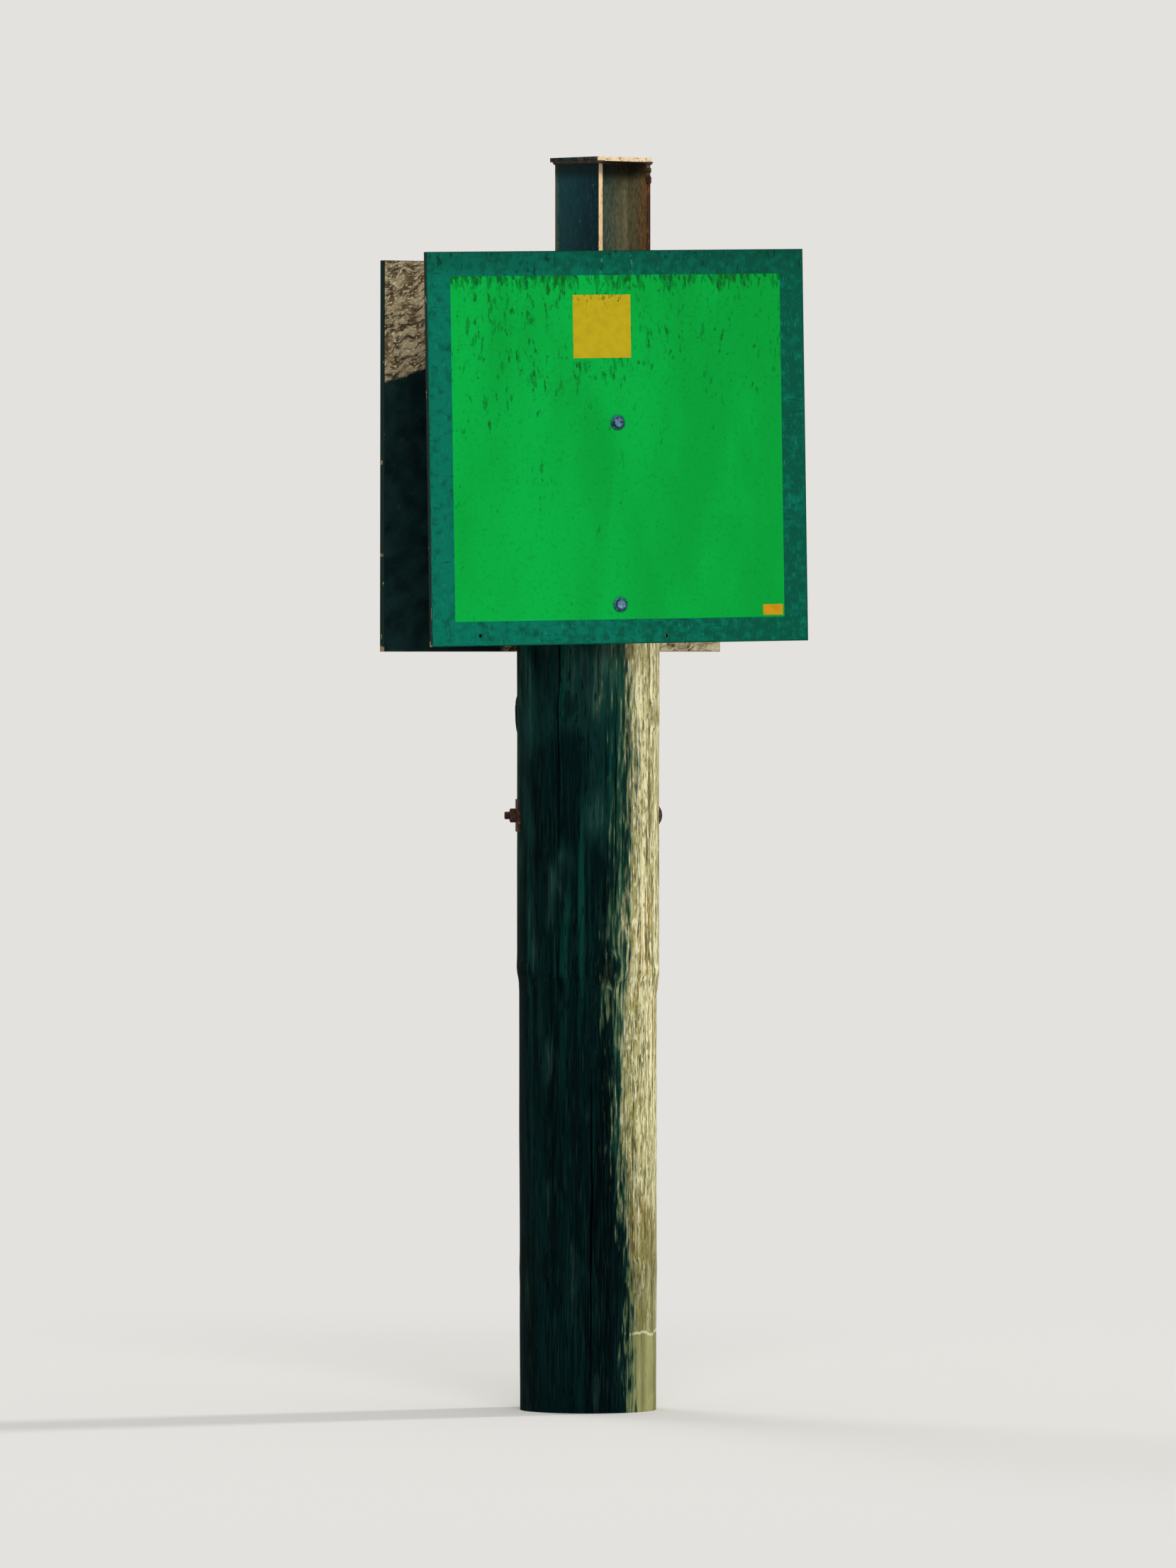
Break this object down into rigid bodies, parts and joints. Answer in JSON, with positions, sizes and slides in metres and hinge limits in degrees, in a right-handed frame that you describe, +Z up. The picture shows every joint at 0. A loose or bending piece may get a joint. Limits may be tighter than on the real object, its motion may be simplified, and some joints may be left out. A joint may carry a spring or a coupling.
{
  "type": "fixed daybeacon: timber pile with square daymarks",
  "caption": "Driven round timber pile with green square daymarks back to back, bolted on flats, and a short wide-flange steel post with a cap plate on top.",
  "frame": {"origin": "pile's axis where it leaves the bed", "axes": "+Z up along the pile; the front daymark faces -Y"},
  "size_m": [0.9514, 0.5353, 3.933],
  "materials": {
    "weathered_timber": "pressure-treated pine, weathered grey and bleached, with checks and algae low down",
    "batten_timber": "sawn treated pine, weathered",
    "plywood": "bare weathered plywood with plies showing at the edges",
    "dark_green_film": "dark green sheeting, dull and streaked",
    "green_film": "bright green fluorescent sheeting with mildew streaks",
    "yellow_film": "yellow sheeting, stained",
    "label_film": "blank vinyl label, faded",
    "galvanised_steel": "hot-dip galvanised, dulled to grey",
    "painted_steel": "old blue-grey paint over steel, rusting along the edges",
    "rusty_iron": "rusted dark brown"
  },
  "bodies": {
    "root": {"pile": "weathered_timber", "front_batten": "batten_timber", "front_board": "plywood", "rear_board": "plywood", "front_border": "dark_green_film", "rear_border": "dark_green_film", "front_field": "green_film", "rear_field": "green_film", "front_square": "yellow_film", "rear_square": "yellow_film", "front_sticker": "label_film", "base_plate": "painted_steel", "stub_post": "painted_steel", "cap_plate": "painted_steel", "side_bolt": "rusty_iron", "side_washer": "rusty_iron", "side_nut": "rusty_iron", "front_washer_upper": "galvanised_steel", "front_screw_upper": "galvanised_steel", "front_washer_lower": "galvanised_steel", "front_screw_lower": "galvanised_steel", "rear_washer_upper": "galvanised_steel", "rear_screw_upper": "galvanised_steel", "rear_washer_lower": "galvanised_steel", "rear_screw_lower": "galvanised_steel", "base_screw_1": "galvanised_steel", "base_screw_2": "galvanised_steel", "base_screw_3": "galvanised_steel", "base_screw_4": "galvanised_steel"}
  },
  "joints": []
}
